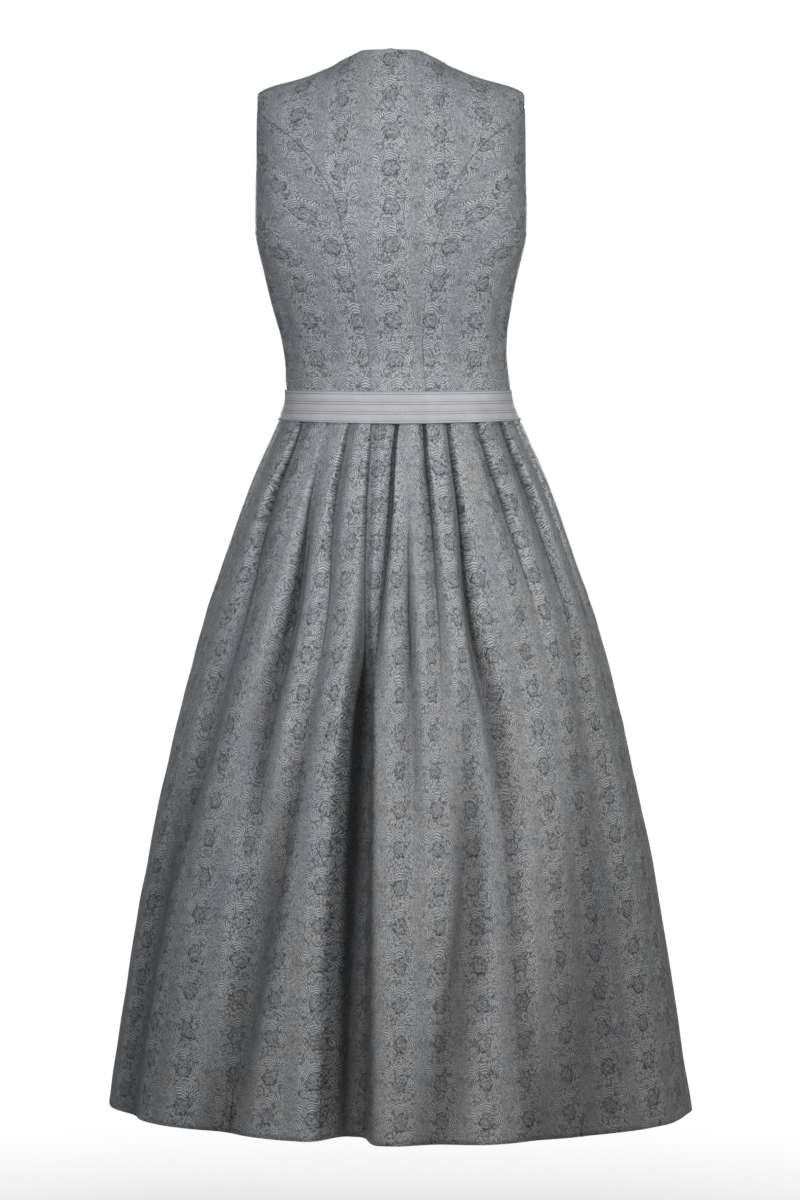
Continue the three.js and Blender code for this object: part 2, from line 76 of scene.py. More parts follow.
# the figure that the garment is filled out to, in millimetres
# angles run from the centre back (0) over the wearer's left (90) to the centre front (180)
body = {
    "waistSeam": -358, "armpit": -174, "hem": -1180, "hemLift": 8, "seamGap": 0.3,
    "sway": -10, "swayFrom": -220, "swayTo": -400,
    "neckHalfWidth": 60, "neckTurn": 28, "backArch": 2.4, "frontArch": 1.8,
    "bustFullness": 13, "bustApart": 78, "bustHeight": -190, "bustReach": (40, 46),
}
torsoHeights = (-358, -340, -312, -289, -255, -221, -187, -174)
torso = {
    "halfWidth": smooth(torsoHeights, (127.8, 127.6, 127, 129.3, 136.7, 144.3, 152.6, 154.8)),
    "back": smooth(torsoHeights, (86, 82.5, 80, 82, 88, 94, 98, 99)),
    "front": smooth(torsoHeights, (98, 96, 96, 101, 111, 119, 122, 122)),
    "square": smooth(torsoHeights, (2.3, 2.3, 2.35, 2.45, 2.6, 2.85, 3.4, 3.6)),
}
ridgeHeight = smooth((0, 30, 48, 63, 78, 92, 109, 133, 148, 156),
                     (57, 49, 33, 19, 12, 6, 0.5, -6, -12, -18))
skirtHeights = (-358, -366, -376, -392, -410, -444, -478, -547, -616, -720, -857, -996, -1180)
skirt = {
    "halfWidth": smooth(skirtHeights, (127.8, 129, 132.5, 140.5, 148.6, 164, 177.3, 201.8, 225, 253,
                                       284.2, 310.2, 338)),
    "back": smooth(skirtHeights, (86, 87, 91, 99, 107, 120, 132, 152, 171, 194, 217, 235, 252)),
    "front": smooth(skirtHeights, (98, 99, 103, 109, 116, 128, 140, 160, 179, 202, 226, 244, 262)),
    "square": smooth(skirtHeights, (2.3, 2.3, 2.3, 2.25, 2.2, 2.15, 2.12, 2.1, 2.1, 2.1, 2.08, 2.06, 2.04)),
}


def swayAt(z):
    return body["sway"] * (1 - ease(z, body["swayTo"], body["swayFrom"]))


def reach(shape, angle, z):
    turn = np.radians(angle)
    depth = np.where(np.cos(turn) > 0, shape["back"](z), shape["front"](z))
    square = shape["square"](z)
    across = np.abs(np.sin(turn)) / shape["halfWidth"](z)
    through = np.abs(np.cos(turn)) / depth
    return (across ** square + through ** square) ** (-1 / square)


def place(angle, radius, z):
    turn = np.radians(angle)
    return np.stack([np.sin(turn) * radius + swayAt(z), np.cos(turn) * radius, z + 0 * radius], -1)


# rise runs from the waist seam (0) to the bottom of the armhole (1) and over the shoulder to its ridge (2)
def bodicePoint(angle, rise):
    angle, rise = np.broadcast_arrays(np.asarray(angle, float), np.asarray(rise, float))
    low = body["waistSeam"] + body["seamGap"] / 2
    ringZ = np.where(rise <= 1, mix(low, body["armpit"], rise), body["armpit"])
    turn = np.radians(angle)
    radius = reach(torso, angle, ringZ)
    x, y, z = np.sin(turn) * radius, np.cos(turn) * radius, ringZ.copy()
    isFront = y < 0
    neckSide = np.clip(np.abs(x) / body["neckHalfWidth"], 0, 1)
    stop = np.where(isFront, 90, 90 - body["neckTurn"] * np.sqrt(1 - neckSide ** 2))
    arch = np.radians(stop * np.clip(rise - 1, 0, None))
    power = 2 / np.where(isFront, body["frontArch"], body["backArch"])
    edge = np.where(isFront, -1, 1) * body["seamGap"] / 2
    overZ = body["armpit"] + (ridgeHeight(np.abs(x)) - body["armpit"]) * np.sin(arch) ** power
    overY = edge + (y - edge) * np.clip(np.cos(arch), 0, None) ** power
    z = np.where(rise > 1, overZ, z)
    y = np.where(rise > 1, overY, y)
    dx = (np.abs(x) - body["bustApart"]) / body["bustReach"][0]
    dz = (z - body["bustHeight"]) / body["bustReach"][1]
    y = np.where(isFront, y - body["bustFullness"] * np.exp(-dx * dx - dz * dz), y)
    return np.stack([x + swayAt(z), y, z], -1)


# seams and edges of the bodice on the wearer's left, as (rise, angle); the right is their mirror image
backSeam = ((0, 20.5), (0.25, 21.5), (0.5, 22.5), (0.75, 24.5), (1, 29), (1.12, 35), (1.23, 42),
            (1.35, 50), (1.45, 57.5), (1.57, 68), (1.66, 74))
backArmhole = ((1, 90), (1.03, 84), (1.1, 79.5), (1.25, 76), (1.45, 74.5), (1.66, 74), (2, 72.6))
frontArmhole = ((1, 90), (1.03, 99), (1.1, 113), (1.25, 124), (1.42, 127.5), (1.7, 121), (2, 111.2))
frontSeam = ((0, 154), (0.3, 150.5), (0.6, 148), (0.9, 146), (1.1, 143), (1.25, 137.5), (1.42, 127.5))
neckline = ((0.84, 180), (0.86, 173), (0.91, 165.5), (1, 159.5), (1.12, 156), (1.3, 153.5),
            (1.6, 152.5), (2, 153.8))


# the skirt's folds: angle, depth and half width at these falls, from the waist seam (0) to the hem (1)
foldFalls = (0, 0.07, 0.15, 0.3, 0.45, 0.7, 1)
backFolds = (
    ((82, 83, 83, 84, 84, 84, 84), (2, 3, 4, 3, 2, 3, 2), (3, 3, 4, 5, 6, 6, 6)),
    ((62, 62, 64.5, 60.5, 63, 72, 74), (3, 8, 12, 10, 10, 13, 12), (6, 6, 7, 6, 6, 6, 6)),
    ((47, 45, 45, 44, 45.5, 44, 44), (3, 4, 10, 24, 16, 1, 0), (4, 4, 5, 5, 5, 5, 5)),
    ((33, 33, 33, 28.5, 31.5, 38, 46.5), (3, 8, 11, 9, 11, 17, 15), (5, 5, 5, 4, 4, 5.2, 7.5)),
    ((19, 18, 17, 14.5, 14.4, 14.5, 14.4), (2, 6, 9, 16, 46, 54, 50), (4, 4, 4, 3.5, 4.8, 5.6, 6.2)),
    ((-1, 2.5, 4, 8, 10, 11, 11), (4, 10, 12, 12, 2, 0, 0), (4, 4, 4, 3.5, 3, 3, 3)),
    ((-4, -4, -4, -4, -4, -4, -4), (0, 0, 3, 13, 10, 0, 0), (3, 3, 3, 2.4, 2.4, 3, 3)),
    ((-18, -16, -16, -15.5, -14.5, -14.5, -14.5), (4, 9, 12, 9, 3, 0, 0), (4, 4, 5, 4, 3, 3, 3)),
    ((-46, -42, -37, -29, -23.5, -19.5, -9.5), (0, 0, 0, 0, 7, 17, 13), (5, 5, 5, 4, 4, 5, 7.5)),
    ((-33, -30.5, -29.5, -28, -32, -33, -33), (4, 9, 12, 18, 16, 3, 0), (4, 4, 4, 3, 4, 3, 3)),
    ((-60, -58, -54, -47, -39, -32.5, -35), (0, 0, 0, 0, 2, 8, 8), (6, 6, 6, 4, 3, 3.5, 5)),
    ((-49, -49, -51, -52, -49, -48, -48), (4, 9, 11, 4, 0, 0, 0), (5, 5, 6, 6, 7, 6, 5)),
    ((-64, -64.5, -67, -66, -61.5, -56, -47), (4, 9, 12, 6, 8, 12, 15), (5, 6, 7, 7, 6.5, 13, 18)),
    ((-76, -77, -79, -80, -80, -80, -80), (3, 4, 5, 5, 4, 4, 4), (3, 4, 4, 5, 6, 7, 7)),
)
frontFoldCount = 12


def frontFold(i):
    uneven = math.sin(7.3 * i + 1)
    angle = 94 + 172 * (i + 0.5) / frontFoldCount
    kept = i % 2
    return ([angle + drift * uneven for drift in (0, 0.5, 1, 1.5, 2, 2, 2)],
            (3, 7, 9 + 2 * uneven, 11 + 3 * uneven, kept * (13 + 3 * uneven), kept * 15, kept * 14),
            (2.5, 3.2, 4, 5.5, 7, 8, 8))


skirtFolds = [[smooth(foldFalls, column) for column in fold]
              for fold in list(backFolds) + [frontFold(i) for i in range(frontFoldCount)]]

skirtLook = {
    "columns": 384, "rows": 122, "wall": 1.4,
    # width of a pleat's folded side as a share of its soft side, at the waist and further down
    "crispNear": 0.09, "crispFar": 1.0, "crispFalls": (0.06, 0.52),
    "rumple": 0.7,
    "hollowDepths": (1.5, 15), "hollowDark": 0.5,  # depths over which painted shade darkens a fold, and how dark
    # the painted shadow line under each pleat's edge: how dark, how wide, and the falls over which it fades
    "edgeDark": 0.6, "edgeWidth": 1.2, "edgeFalls": (0.22, 0.5),
    "clothRadius": 300.0, "clothJoins": (0.1, 0.42),
}


def foldSide(foldAngle):
    # the side of a fold that the pleat's edge lies on
    return 1 if foldAngle(0) > 5 else -1


def offFold(angle, foldAngle, fall):
    off = angle - foldAngle(fall)
    return off - 360 * np.round(off / 360)


def foldDepth(angle, fall):
    look = skirtLook
    crisp = mix(look["crispNear"], look["crispFar"], ease(fall, *look["crispFalls"]))
    deepest = np.zeros(np.broadcast(angle, fall).shape)
    total = np.zeros_like(deepest)
    for foldAngle, foldSize, foldWidth in skirtFolds:
        off = offFold(angle, foldAngle, fall)
        size = np.maximum(foldSize(fall), 0)
        width = foldWidth(fall) * np.where(off * foldSide(foldAngle) > 0, crisp, 1)
        depth = size * np.exp(-np.abs(off / width) ** (2 + 2 * ease(size, 20, 45)))
        total += depth
        deepest = np.maximum(deepest, depth)
    return mix(total, deepest, 0.4)


def pleatEdgeShadows(angle, fall):
    # painted shadow: a dark line under a pleat's folded edge
    look = skirtLook
    radius = reach(skirt, angle, mix(body["waistSeam"], body["hem"], fall))
    edges = np.zeros(np.broadcast(angle, fall).shape)
    for foldAngle, foldSize, foldWidth in skirtFolds:
        off = np.radians(offFold(angle, foldAngle, fall)) * radius / look["edgeWidth"]
        edges = np.maximum(edges, ease(foldSize(fall), 2, 8) * np.exp(-off * off))
    return look["edgeDark"] * edges * (1 - ease(fall, *look["edgeFalls"]))


def foldShadow(angle, fall):
    # less light falls into a fold
    look = skirtLook
    dark = look["hollowDark"] * ease(foldDepth(angle, fall), *look["hollowDepths"])
    return 1 - (1 - dark) * (1 - pleatEdgeShadows(angle, fall))


def alongFolds(low, high):
    # columns of the grid that run down the pleats, closer together beside their edges
    edges = sorted((fold[0] for fold in skirtFolds if fold[1](0) > 0.5 and low < fold[0](0) < high),
                   key=lambda angleAt: float(angleAt(0)))
    starts = [low] + [float(angleAt(0)) for angleAt in edges] + [high]
    shares = (np.array(starts) - low) / (high - low)

    def angleOf(s, fall):
        lines = np.stack([0 * fall + low] + [angleAt(fall) for angleAt in edges] + [0 * fall + high])
        k = np.clip(np.searchsorted(shares, s, side="right") - 1, 0, len(shares) - 2)
        t = (s - shares[k]) / (shares[k + 1] - shares[k])
        t = t - 0.7 * np.sin(2 * math.pi * t) / (2 * math.pi)
        return mix(np.take_along_axis(lines, k[None], 0)[0], np.take_along_axis(lines, k[None] + 1, 0)[0], t)
    return angleOf


def skirtPoint(angle, fall):
    angle, fall = np.broadcast_arrays(np.asarray(angle, float), np.asarray(fall, float))
    lift = body["hemLift"] * np.clip(np.sin(np.radians(angle)), 0, None)
    z = mix(body["waistSeam"] - body["seamGap"], body["hem"] + lift, fall)
    inside = foldDepth(angle, fall)
    radius = reach(skirt, angle, z)
    arc = np.radians(angle) * radius
    rumple = (np.sin(arc / 21 + 3 * np.sin(z / 90)) * np.sin(z / 47 + arc / 60)
              + 0.6 * np.sin(arc / 9.5 - z / 38) * np.sin(z / 23 + 2))
    inside = inside - skirtLook["rumple"] * rumple * ease(fall, 0.05, 0.3)
    return place(angle, radius - inside, z)


apronLook = {
    "from": 112, "top": -354, "hem": -1140, "lift": 0.7, "wall": 1.2, "gathers": 22, "gatherDepth": 1.1,
    "foldStand": 5, "wideFold": (3.2, 9, 0.6), "narrowFold": (1.8, 15, 2), "flare": 5,
    "columns": 300, "rows": 150,
}


def apronPoint(angle, fall, extra=0.0):
    look = apronLook
    z = mix(look["top"], look["hem"], fall)
    base = np.where(z > body["waistSeam"], reach(torso, angle, z), reach(skirt, angle, z))
    across = (angle - look["from"]) / (360 - 2 * look["from"]) * math.pi
    gathers = look["gatherDepth"] * (1 - ease(fall, 0.02, 0.4)) * (1 + np.cos(2 * look["gathers"] * across))
    folds = look["foldStand"]
    for size, count, start in (look["wideFold"], look["narrowFold"]):
        folds = folds + size * np.sin(count * across + start)
    stand = look["lift"] + look["wall"] + gathers + ease(fall, 0.02, 0.6) * folds + look["flare"] * fall
    return place(angle, base + stand + extra, z)


ribbonLook = {
    "top": -351.2, "bottom": -385.5, "wall": 1.0, "backLift": 0.8, "frontLift": 5, "dip": 3,
    "columns": 360, "rows": 14, "wave": 0.5,
}


def ribbonPoint(angle, down, extra=0.0):
    look = ribbonLook
    dip = look["dip"] * np.clip(np.cos(np.radians(angle)), 0, None) ** 2
    z = mix(look["top"] - dip / 3, look["bottom"] - dip, down)
    base = np.where(z > body["waistSeam"], reach(torso, angle, z), reach(skirt, angle, z))
    side = np.abs(np.where(angle > 180, 360 - angle, angle))
    lift = mix(look["backLift"], look["frontLift"], ease(side, 94, apronLook["from"] - 1))
    return place(angle, base + lift + look["wall"] + extra, z)


bowLook = {
    "angle": 160, "z": -369.5, "knotAcross": 10, "knotUp": 13, "knotOut": 8, "knotStand": 8.4,
    "wall": 0.9, "loopGrid": (16, 90), "tailGrid": (16, 110),
    # half of a loop's height at the knot and at its end, and how far it opens
    "loopHalf": (8, 17), "loopOpening": 7,
    # half of a tail's width, and how far the left tail's top lies over the right one's
    "tailHalf": 17, "tailOver": 4.3,
    # side, length and droop
    "loops": {"left": (-1, 68, 9), "right": (1, 64, 14)},
    # side, length and spread at the end
    "tails": {"left": (-1, 235, 52), "right": (1, 265, 46)},
}


def bowPoint(alongWaist, up, out):
    start = reach(skirt, bowLook["angle"], bowLook["z"]) + ribbonLook["frontLift"]
    z = bowLook["z"] + up
    angle = bowLook["angle"] + np.degrees(alongWaist / start)
    top, bottom = ribbonLook["top"], ribbonLook["bottom"]
    down = (top - np.clip(z, bottom, top)) / (top - bottom)
    point = ribbonPoint(angle, down, out)
    point[..., 2] = z
    return point


# sheets of cloth

waistMiddle = (body["sway"], 0, 0)


def lengthsAlong(points, axis):
    step = np.linalg.norm(np.diff(points, axis=axis), axis=-1)
    start = np.zeros_like(np.take(step, [0], axis=axis))
    return np.concatenate([start, np.cumsum(step, axis=axis)], axis=axis)


def outwardNormals(points, middle):
    across = np.gradient(points, axis=1)
    along = np.gradient(points, axis=0)
    normal = np.cross(along, across)
    normal /= np.maximum(np.linalg.norm(normal, axis=-1, keepdims=True), 1e-9)
    away = points - middle
    away[..., 2] = 0
    return normal if (normal * away).sum() > 0 else -normal


def makeSheet(name, point, columns, rows, wall, finish, replaces, roll=(0, 1), middle=None, uvAt=None,
              closed=False, slot="jacquard", creases=None, paintedShade=None):
    across, along = np.meshgrid(np.linspace(0, 1, columns + 1), np.linspace(0, 1, rows + 1))
    points = point(across, along)
    acrossLength = lengthsAlong(points, 1)
    alongLength = lengthsAlong(points, 0)
    centre = np.array(middle if middle is not None else (0, 0, 0), float)
    if middle is None:
        centre[0] = body["sway"] / 2
    normal = outwardNormals(points, centre)
    if uvAt is None:
        half = acrossLength[:, columns // 2:columns // 2 + 1]
        cloth = np.stack([acrossLength - half, alongLength], -1)
    else:
        cloth = uvAt(across, along, acrossLength, alongLength)
    depth, width = roll
    if depth:
        toEdge = np.minimum(acrossLength, acrossLength[:, -1:] - acrossLength)
        toEnd = np.minimum(alongLength, alongLength[-1:, :] - alongLength)
        near = np.minimum(toEdge, toEnd)
        points = points - normal * (depth * np.exp(-(near / width) ** 2))[..., None]
    if creases is not None:
        points = points + normal * creases(acrossLength, alongLength, across, along)[..., None]

    bm = bmesh.new()
    cloths = bm.loops.layers.uv.new("cloth")
    # a layer of painted shade, which darkens the cloth's colour wherever a sheet is given it
    paintedShadeLayer = bm.verts.layers.float.new("paintedShade")
    depths = paintedShade(across, along) if paintedShade else 0 * across
    bmesh.ops.create_grid(bm, x_segments=columns, y_segments=rows, size=0.5)
    for face in bm.faces:
        for loop in face.loops:
            i = round((loop.vert.co.y + 0.5) * rows)
            j = round((loop.vert.co.x + 0.5) * columns)
            loop[cloths].uv = cloth[i, j] * mm
    for vert in bm.verts:
        i = round((vert.co.y + 0.5) * rows)
        j = round((vert.co.x + 0.5) * columns)
        vert.co = points[i, j] * mm
        vert[paintedShadeLayer] = depths[i, j]
    if closed:
        bmesh.ops.remove_doubles(bm, verts=bm.verts, dist=0.00002)
    bm.normal_update()
    sample = min(bm.faces, key=lambda face: (face.calc_center_median()
                                             - Vector(points[rows // 2, columns // 2] * mm)).length)
    if sample.normal.dot(Vector(normal[rows // 2, columns // 2])) < 0:
        bmesh.ops.reverse_faces(bm, faces=bm.faces)
    for face in bm.faces:
        face.smooth = True
    mesh = bpy.data.meshes.new(name)
    bm.to_mesh(mesh)
    bm.free()
    piece = bpy.data.objects.new(name, mesh)
    bpy.context.scene.collection.objects.link(piece)
    mesh.materials.append(finish)
    thick = piece.modifiers.new("wall", "SOLIDIFY")
    thick.thickness = wall * mm
    thick.offset = -1
    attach(piece, "root")
    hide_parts(replaces)
    return piece


# shaders

class Shade:
    def __init__(self, tree, socket=None):
        self.tree = tree
        self.socket = socket

    def node(self, kind, settings=None, inputs=None, output=0):
        made = self.tree.nodes.new(kind)
        for key, value in (settings or {}).items():
            setattr(made, key, value)
        for key, value in (inputs or {}).items():
            if isinstance(value, Shade):
                self.tree.links.new(value.socket, made.inputs[key])
            else:
                made.inputs[key].default_value = value
        return Shade(self.tree, made.outputs[output])

    def output(self, name):
        return Shade(self.tree, self.socket.node.outputs[name])

    def maths(self, operation, *values, clamp=False):
        inputs = dict(enumerate(values))
        return self.node("ShaderNodeMath", {"operation": operation, "use_clamp": clamp}, inputs)

    def __add__(self, other):
        return self.maths("ADD", self, other)

    def __radd__(self, other):
        return self.maths("ADD", other, self)

    def __sub__(self, other):
        return self.maths("SUBTRACT", self, other)

    def __rsub__(self, other):
        return self.maths("SUBTRACT", other, self)

    def __mul__(self, other):
        return self.maths("MULTIPLY", self, other)

    def __rmul__(self, other):
        return self.maths("MULTIPLY", other, self)

    def __truediv__(self, other):
        return self.maths("DIVIDE", self, other)

    def __abs__(self):
        return self.maths("ABSOLUTE", self)

    def sin(self):
        return self.maths("SINE", self)

    def cos(self):
        return self.maths("COSINE", self)

    def larger(self, other):
        return self.maths("MAXIMUM", self, other)

    def clipped(self):
        return self.maths("ADD", self, 0, clamp=True)

    def repeat(self, period):
        return self.maths("FRACT", self / period + 0.5) * period - period / 2

    def line(self, width, soft=0.35):
        return (1 - (abs(self) - width) / soft).clipped()


def startMaterial(name):
    material = bpy.data.materials.new(name)
    material.use_nodes = True
    material.node_tree.nodes.clear()
    return material, Shade(material.node_tree)


def finishMaterial(material, shade, colour, roughness, height, bumpDepth, fixed):
    bump = shade.node("ShaderNodeBump",
                      inputs={"Strength": 1.0, "Distance": bumpDepth * mm, "Height": height})
    surface = shade.node("ShaderNodeBsdfPrincipled",
                         inputs={"Base Color": colour, "Roughness": roughness, "Normal": bump, **fixed})
    end = material.node_tree.nodes.new("ShaderNodeOutputMaterial")
    material.node_tree.links.new(surface.socket, end.inputs["Surface"])
    return material


def mixTones(shade, factor, low, high):
    return shade.node("ShaderNodeMix", {"data_type": "RGBA"},
                      {"Factor": factor, "A": low, "B": high}, "Result")


def clothPlace(shade):
    uv = shade.node("ShaderNodeUVMap", {"uv_map": "cloth"})
    split = shade.node("ShaderNodeSeparateXYZ", inputs={"Vector": uv})
    return uv, split.output("X") * 1000, split.output("Y") * 1000


def noise(shade, vector, size, detail=2.0, roughness=0.5):
    return shade.node("ShaderNodeTexNoise", {"noise_dimensions": "2D"},
                      {"Vector": vector, "Scale": 1 / (size * mm), "Detail": detail, "Roughness": roughness})


def polar(x, y):
    return x.maths("SQRT", x * x + y * y), x.maths("ARCTAN2", y, x)


def largest(parts):
    found = parts[0]
    for part in parts[1:]:
        found = found.larger(part)
    return found


def rose(x, y, size, turn):
    # scalloped rings of petals round a curled heart; gives its lines and the shape that they fill
    away, around = polar(x, y)
    lobes = (around * 6 + turn).cos()
    outer = (away - size * (1 + 0.07 * lobes)).line(0.5 + (y * (-0.5 / size)).clipped(), 0.5)
    middle = (away - size * (0.66 - 0.1 * lobes)).line(0.4, 0.5)
    heart = ((away * 1.5 - around).sin() * 2.2 - 0.8).clipped() * ((size * 0.46 - away) / 0.8).clipped()
    petals = (around * 6 + away * 0.5 + turn).sin() * away * 0.17
    petals = petals.line(0.35, 0.5) * (1 - abs(away - size * 0.84) / (size * 0.2)).clipped()
    return largest([outer, middle * 0.7, heart * 0.8, petals * 0.7]), ((size * 1.02 - away) / 0.8).clipped()


def ladderLeaf(x, y, at, turn, length, halfWidth, barSpacing):
    # a pointed leaf crossed by bars; gives its bars and the shape that they fill
    dx, dy = x - at[0], y - at[1]
    c, s = math.cos(math.radians(turn)), math.sin(math.radians(turn))
    along = dx * c + dy * s
    across = dy * c - dx * s
    share = along / length
    body = ((halfWidth * (1 - share * share) - abs(across)) / 0.6).clipped()
    bars = ((along + abs(across) * 0.4) * (2 * math.pi / barSpacing)).sin()
    return body * (bars * 1.8 + 0.3).clipped(), body


def fern(x, y, at, radius, halfWidth, towards, spread, strokes):
    # short strokes either side of an arc; gives its strokes and the shape that they fill
    away, around = polar(x - at[0], y - at[1])
    off = away - radius
    turned = (around - math.radians(towards)).maths("WRAP", around - math.radians(towards), math.pi, -math.pi)
    length = 1 - abs(turned) / math.radians(spread)
    body = ((halfWidth * (length * 2.2).clipped() - abs(off)) / 0.6).clipped()
    marks = ((around * strokes + abs(off) * 0.9).sin() * 2 + 0.2).clipped()
    return body * marks, body


def fanBlossom(x, y, at, size):
    # petals that spread upwards from a point
    away, around = polar(x - at[0], y - at[1])
    turned = around - math.pi / 2
    body = ((size * (1 + 0.1 * (turned * 9).cos()) - away) / 5).clipped() \
        * ((0.75 - abs(turned)) * 3).clipped()
    return body, body * ((turned * 19 + away * 0.3).sin() * 1.4).clipped()


jacquardLook = {
    "columnSpacing": 58, "repeat": 43, "wander": 2.6,
    "deep": (0.074, 0.08, 0.089, 1), "bright": (0.61, 0.632, 0.655, 1),
    "cool": (0.965, 0.995, 1.035, 1), "warm": (1.03, 1.0, 0.967, 1),
    "ground": 0.455, "outline": 0.33, "strokes": 0.85, "between": 0.20, "blossom": 0.07,
    "scroll": 0.26, "scrollSize": 7.5, "scrollLines": 24, "scrollBand": 22,
    "grain": 0.75, "mottle": 0.16, "threads": 0.045, "threadSpacing": 2.1, "weaveSpacing": 0.9,
    "roughness": 0.46, "metal": 0.35, "bump": 0.4,
    "roseSize": 8.8,
    # middle, direction, half length, half width and bar spacing
    "leaves": (((0.8, 16.8), 90, 8.6, 6.2, 2.9), ((-15.5, 1), 155, 6.4, 3.4, 2.5),
               ((14.5, -7), -30, 6.6, 3.4, 2.5), ((-10.5, -12.5), 58, 5.6, 3.2, 2.5),
               ((12, 8), 35, 6, 3.2, 2.5)),
    # middle, radius, half width, direction, half spread and strokes to a full turn
    "ferns": (((2, 5), 15, 3.2, 38, 48, 36), ((-6, 11), 9.5, 2.8, 128, 66, 24),
              ((29, 17), 10.5, 2.4, 215, 50, 26), ((-29, 17), 10.5, 2.4, -35, 50, 26)),
    # middle and radius
    "rings": (((-12, 13), 4.6), ((22.5, 11), 1.6), ((-23, 9), 1.6)),
}


def jacquardCloth():
    look = jacquardLook
    material, shade = startMaterial("greyBlueJacquard")
    uv, across, along = clothPlace(shade)
    drift = noise(shade, uv, 19, 1.0)
    wander = shade.node("ShaderNodeSeparateColor", inputs={"Color": drift.output("Color")})
    across = across + (wander.output("Red") - 0.5) * (2 * look["wander"])
    along = along + (wander.output("Green") - 0.5) * (2 * look["wander"])
    x, y = across.repeat(look["columnSpacing"]), along.repeat(look["repeat"])
    besideX = (across + look["columnSpacing"] / 2).repeat(look["columnSpacing"])

    roseLines, petal = rose(x, y, look["roseSize"], 0.4)
    clear = 1 - petal
    strokes, bodies = [], []
    for motif, rows in ((ladderLeaf, look["leaves"]), (fern, look["ferns"])):
        for row in rows:
            marks, filled = motif(x, y, *row)
            strokes.append(marks)
            bodies.append(filled)
    stroke, leaves = largest(strokes) * clear, largest(bodies) * clear
    rings = [(polar(x - ringX, y - ringY)[0] - radius).line(0.5, 0.5)
             for (ringX, ringY), radius in look["rings"]]
    blossom, blossomLines = fanBlossom(besideX, y, (0, -6), 15)
    outline = largest([roseLines, largest(rings) * clear * 0.7, blossomLines * 0.3])

    # fine scrolls crowd the space round each flower
    scrolls = noise(shade, uv, look["scrollSize"], 1.5).output("Fac") * look["scrollLines"]
    curls = scrolls.sin() * (1 - 0.85 * leaves)
    band = ((look["scrollBand"] - abs(x)) / 5).clipped() * (1 - 0.6 * petal)

    grain = noise(shade, uv, 1.8, 2.0, 0.75).output("Fac") - 0.5
    mottle = noise(shade, uv, 34, 3.0, 0.6).output("Fac") - 0.5
    worn = (noise(shade, uv, 8, 2.0).output("Fac") * 3 - 0.9).clipped()
    threads = (across * (2 * math.pi / look["threadSpacing"])).sin()
    tone = (look["ground"] + look["strokes"] * stroke * (0.6 + 0.4 * worn) - look["between"] * leaves
            + look["scroll"] * curls * (0.4 + 0.6 * band)
            - look["outline"] * outline * (0.55 + 0.45 * worn) - look["blossom"] * blossom
            + look["grain"] * grain + look["mottle"] * mottle + look["threads"] * threads).clipped()

    # the colour turns a little warmer towards the hem and the wearer's right
    objectPlace = shade.node("ShaderNodeTexCoord").output("Object")
    spot = shade.node("ShaderNodeSeparateXYZ", inputs={"Vector": objectPlace})
    towardsHem = (spot.output("Z") * -1 + body["waistSeam"] * mm).clipped()
    warmShare = noise(shade, uv, 55, 2.0).output("Fac") * 2 - 0.65 - spot.output("X") * 1.6 + towardsHem * 0.9
    tint = mixTones(shade, warmShare.clipped(), look["cool"], look["warm"])
    colour = mixTones(shade, tone, look["deep"], look["bright"])
    colour = shade.node("ShaderNodeVectorMath", {"operation": "MULTIPLY"}, {0: colour, 1: tint})
    # painted shade: the colour is darkened in the skirt's folds and along the pleats' edges
    paintedShade = shade.node("ShaderNodeAttribute", {"attribute_name": "paintedShade"}, output="Fac")
    colour = shade.node("ShaderNodeVectorMath", {"operation": "SCALE"}, {0: colour, "Scale": 1 - paintedShade})
    perThread = 2 * math.pi / look["weaveSpacing"]
    weave = ((across * perThread).sin() * (along * perThread).sin()) * 0.2
    height = weave + stroke * 0.5 + curls * 0.25 + petal * 0.2 - outline * 0.6 + grain * 0.8
    roughness = (look["roughness"] + 0.12 * stroke - 0.04 * petal + 0.3 * grain).clipped()
    return finishMaterial(material, shade, colour, roughness, height, look["bump"],
                          {"Metallic": look["metal"], "Sheen Weight": 0.1, "Sheen Roughness": 0.4,
                           "Specular IOR Level": 0.5})


apronClothLook = {
    "deep": (0.2, 0.2, 0.225, 1), "bright": (0.46, 0.46, 0.5, 1),
    "slubs": (700, 40, 1), "threadSpacing": 1.1,
}


def apronCloth():
    look = apronClothLook
    material, shade = startMaterial("apronSatin")
    uv, across, _ = clothPlace(shade)
    stretched = shade.node("ShaderNodeMapping", inputs={"Vector": uv, "Scale": look["slubs"]})
    slub = shade.node("ShaderNodeTexNoise", {"noise_dimensions": "2D"},
                      {"Vector": stretched, "Scale": 1.0, "Detail": 2.0})
    threads = (across * (2 * math.pi / look["threadSpacing"])).sin() * 0.5
    mottle = noise(shade, uv, 60, 3.0, 0.6).output("Fac") - 0.5
    tone = (0.5 + 0.35 * (slub.output("Fac") - 0.5) + 0.25 * mottle + 0.06 * threads).clipped()
    colour = mixTones(shade, tone, look["deep"], look["bright"])
    height = threads * 0.3 + slub.output("Fac") * 0.5
    return finishMaterial(material, shade, colour, (0.42 + 0.1 * mottle).clipped(), height, 0.25,
                          {"Sheen Weight": 0.2, "Sheen Roughness": 0.35, "Specular IOR Level": 0.5})


ribbonClothLook = {
    "dark": (0.2, 0.2, 0.212, 1), "light": (0.6, 0.6, 0.62, 1),
    "stripe": 2.9, "group": 11.6, "ribSpacing": 0.8,
}


